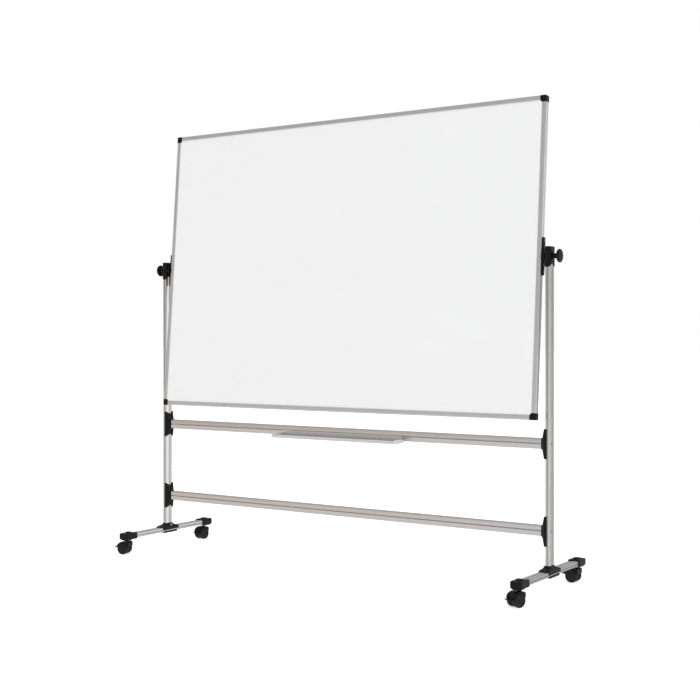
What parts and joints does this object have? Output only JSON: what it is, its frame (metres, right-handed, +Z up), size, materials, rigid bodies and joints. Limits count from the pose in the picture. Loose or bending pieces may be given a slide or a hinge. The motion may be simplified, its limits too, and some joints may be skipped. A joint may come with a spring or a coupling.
{
  "type": "rolling whiteboard",
  "caption": "Double-sided whiteboard that turns over between the posts of a wheeled stand, with a pen tray on the upper crossbar.",
  "frame": {"origin": "on the floor, midway between the two posts", "axes": "+Z up, +X along the board's width, -Y towards the side that the pen tray faces"},
  "size_m": [1.9624, 0.5951, 1.8308],
  "materials": {
    "aluminium_extrusion": "satin anodised, fine lengthwise draw lines",
    "enamel_sheet": "gloss white dry-wipe enamel",
    "core_board": "particle board, hidden",
    "black_plastic": "fine moulded texture",
    "grey_plastic": "smooth moulded",
    "wheel_plastic": "hard nylon, semi-matt",
    "zinc_steel": "zinc plated"
  },
  "bodies": {
    "stand": {"post_left": "aluminium_extrusion", "post_right": "aluminium_extrusion", "post_head_left": "black_plastic", "post_head_right": "black_plastic", "crossbar_upper": "aluminium_extrusion", "crossbar_lower": "aluminium_extrusion", "bar_joint_upper_left": "black_plastic", "bar_joint_upper_right": "black_plastic", "bar_joint_lower_left": "black_plastic", "bar_joint_lower_right": "black_plastic", "crossbar_bolts": "zinc_steel", "foot_rail_left": "aluminium_extrusion", "foot_rail_right": "aluminium_extrusion", "foot_saddle_left": "black_plastic", "foot_saddle_right": "black_plastic", "saddle_screws": "zinc_steel", "foot_clamp_left": "black_plastic", "foot_clamp_right": "black_plastic", "foot_bolts": "zinc_steel", "foot_cap_front_left": "black_plastic", "foot_cap_front_right": "black_plastic", "foot_cap_back_left": "black_plastic", "foot_cap_back_right": "black_plastic", "caster_stems": "zinc_steel"},
    "board": {"board_core": "core_board", "writing_sheet_front": "enamel_sheet", "writing_sheet_back": "enamel_sheet", "frame_rail_top": "aluminium_extrusion", "frame_rail_bottom": "aluminium_extrusion", "frame_rail_left": "aluminium_extrusion", "frame_rail_right": "aluminium_extrusion", "frame_corners": "black_plastic", "pivot_plate_left": "black_plastic", "pivot_plate_right": "black_plastic", "plate_screws": "zinc_steel", "clamp_studs": "zinc_steel"},
    "knob_left": {"clamp_knob_left": "black_plastic"},
    "knob_right": {"clamp_knob_right": "black_plastic"},
    "tray": {"pen_tray": "aluminium_extrusion", "tray_end_caps": "grey_plastic"},
    "caster_front_left_swivel": {"caster_front_left_housing": "black_plastic", "caster_front_left_pins": "zinc_steel"},
    "caster_front_left_wheel_a": {"caster_front_left_wheel_a": "wheel_plastic"},
    "caster_front_left_wheel_b": {"caster_front_left_wheel_b": "wheel_plastic"},
    "caster_front_left_pedal": {"caster_front_left_pedal": "black_plastic"},
    "caster_front_right_swivel": {"caster_front_right_housing": "black_plastic", "caster_front_right_pins": "zinc_steel"},
    "caster_front_right_wheel_a": {"caster_front_right_wheel_a": "wheel_plastic"},
    "caster_front_right_wheel_b": {"caster_front_right_wheel_b": "wheel_plastic"},
    "caster_front_right_pedal": {"caster_front_right_pedal": "black_plastic"},
    "caster_back_left_swivel": {"caster_back_left_housing": "black_plastic", "caster_back_left_pins": "zinc_steel"},
    "caster_back_left_wheel_a": {"caster_back_left_wheel_a": "wheel_plastic"},
    "caster_back_left_wheel_b": {"caster_back_left_wheel_b": "wheel_plastic"},
    "caster_back_left_pedal": {"caster_back_left_pedal": "black_plastic"},
    "caster_back_right_swivel": {"caster_back_right_housing": "black_plastic", "caster_back_right_pins": "zinc_steel"},
    "caster_back_right_wheel_a": {"caster_back_right_wheel_a": "wheel_plastic"},
    "caster_back_right_wheel_b": {"caster_back_right_wheel_b": "wheel_plastic"},
    "caster_back_right_pedal": {"caster_back_right_pedal": "black_plastic"}
  },
  "joints": [
    {"name": "board_tilt", "type": "hinge", "parent": "stand", "child": "board", "pos_m": [0, 0, 1.232], "axis": [1, 0, 0], "continuous": true},
    {"name": "knob_left_turn", "type": "hinge", "parent": "board", "child": "knob_left", "pos_m": [-0.928, 0, 1.232], "axis": [1, 0, 0], "continuous": true},
    {"name": "knob_right_turn", "type": "hinge", "parent": "board", "child": "knob_right", "pos_m": [0.928, 0, 1.232], "axis": [1, 0, 0], "continuous": true},
    {"name": "tray_slide", "type": "slide", "parent": "stand", "child": "tray", "axis": [1, 0, 0], "range_m": [-0.58, 0.54]},
    {"name": "caster_front_left_swivel", "type": "hinge", "parent": "stand", "child": "caster_front_left_swivel", "pos_m": [-0.928, -0.251, 0.055], "axis": [0, 0, 1], "continuous": true},
    {"name": "caster_front_left_roll_a", "type": "hinge", "parent": "caster_front_left_swivel", "child": "caster_front_left_wheel_a", "pos_m": [-0.94338, -0.25541, 0.025], "axis": [0.2756, -0.9613, 0], "continuous": true},
    {"name": "caster_front_left_roll_b", "type": "hinge", "parent": "caster_front_left_swivel", "child": "caster_front_left_wheel_b", "pos_m": [-0.94338, -0.25541, 0.025], "axis": [0.2756, -0.9613, 0], "continuous": true},
    {"name": "caster_front_left_brake", "type": "hinge", "parent": "caster_front_left_swivel", "child": "caster_front_left_pedal", "pos_m": [-0.9726, -0.26379, 0.031], "axis": [0.2756, -0.9613, 0], "range_deg": [0, 14]},
    {"name": "caster_front_right_swivel", "type": "hinge", "parent": "stand", "child": "caster_front_right_swivel", "pos_m": [0.928, -0.251, 0.055], "axis": [0, 0, 1], "continuous": true},
    {"name": "caster_front_right_roll_a", "type": "hinge", "parent": "caster_front_right_swivel", "child": "caster_front_right_wheel_a", "pos_m": [0.92201, -0.26583, 0.025], "axis": [0.9272, -0.3746, 0], "continuous": true},
    {"name": "caster_front_right_roll_b", "type": "hinge", "parent": "caster_front_right_swivel", "child": "caster_front_right_wheel_b", "pos_m": [0.92201, -0.26583, 0.025], "axis": [0.9272, -0.3746, 0], "continuous": true},
    {"name": "caster_front_right_brake", "type": "hinge", "parent": "caster_front_right_swivel", "child": "caster_front_right_pedal", "pos_m": [0.91062, -0.29402, 0.031], "axis": [0.9272, -0.3746, 0], "range_deg": [0, 14]},
    {"name": "caster_back_left_swivel", "type": "hinge", "parent": "stand", "child": "caster_back_left_swivel", "pos_m": [-0.928, 0.251, 0.055], "axis": [0, 0, 1], "continuous": true},
    {"name": "caster_back_left_roll_a", "type": "hinge", "parent": "caster_back_left_swivel", "child": "caster_back_left_wheel_a", "pos_m": [-0.92967, 0.23509, 0.025], "axis": [0.9945, -0.1045, 0], "continuous": true},
    {"name": "caster_back_left_roll_b", "type": "hinge", "parent": "caster_back_left_swivel", "child": "caster_back_left_wheel_b", "pos_m": [-0.92967, 0.23509, 0.025], "axis": [0.9945, -0.1045, 0], "continuous": true},
    {"name": "caster_back_left_brake", "type": "hinge", "parent": "caster_back_left_swivel", "child": "caster_back_left_pedal", "pos_m": [-0.93285, 0.20485, 0.031], "axis": [0.9945, -0.1045, 0], "range_deg": [0, 14]},
    {"name": "caster_back_right_swivel", "type": "hinge", "parent": "stand", "child": "caster_back_right_swivel", "pos_m": [0.928, 0.251, 0.055], "axis": [0, 0, 1], "continuous": true},
    {"name": "caster_back_right_roll_a", "type": "hinge", "parent": "caster_back_right_swivel", "child": "caster_back_right_wheel_a", "pos_m": [0.912, 0.25128, 0.025], "axis": [-0.0175, -0.9998, 0], "continuous": true},
    {"name": "caster_back_right_roll_b", "type": "hinge", "parent": "caster_back_right_swivel", "child": "caster_back_right_wheel_b", "pos_m": [0.912, 0.25128, 0.025], "axis": [-0.0175, -0.9998, 0], "continuous": true},
    {"name": "caster_back_right_brake", "type": "hinge", "parent": "caster_back_right_swivel", "child": "caster_back_right_pedal", "pos_m": [0.88161, 0.25181, 0.031], "axis": [-0.0175, -0.9998, 0], "range_deg": [0, 14]}
  ]
}
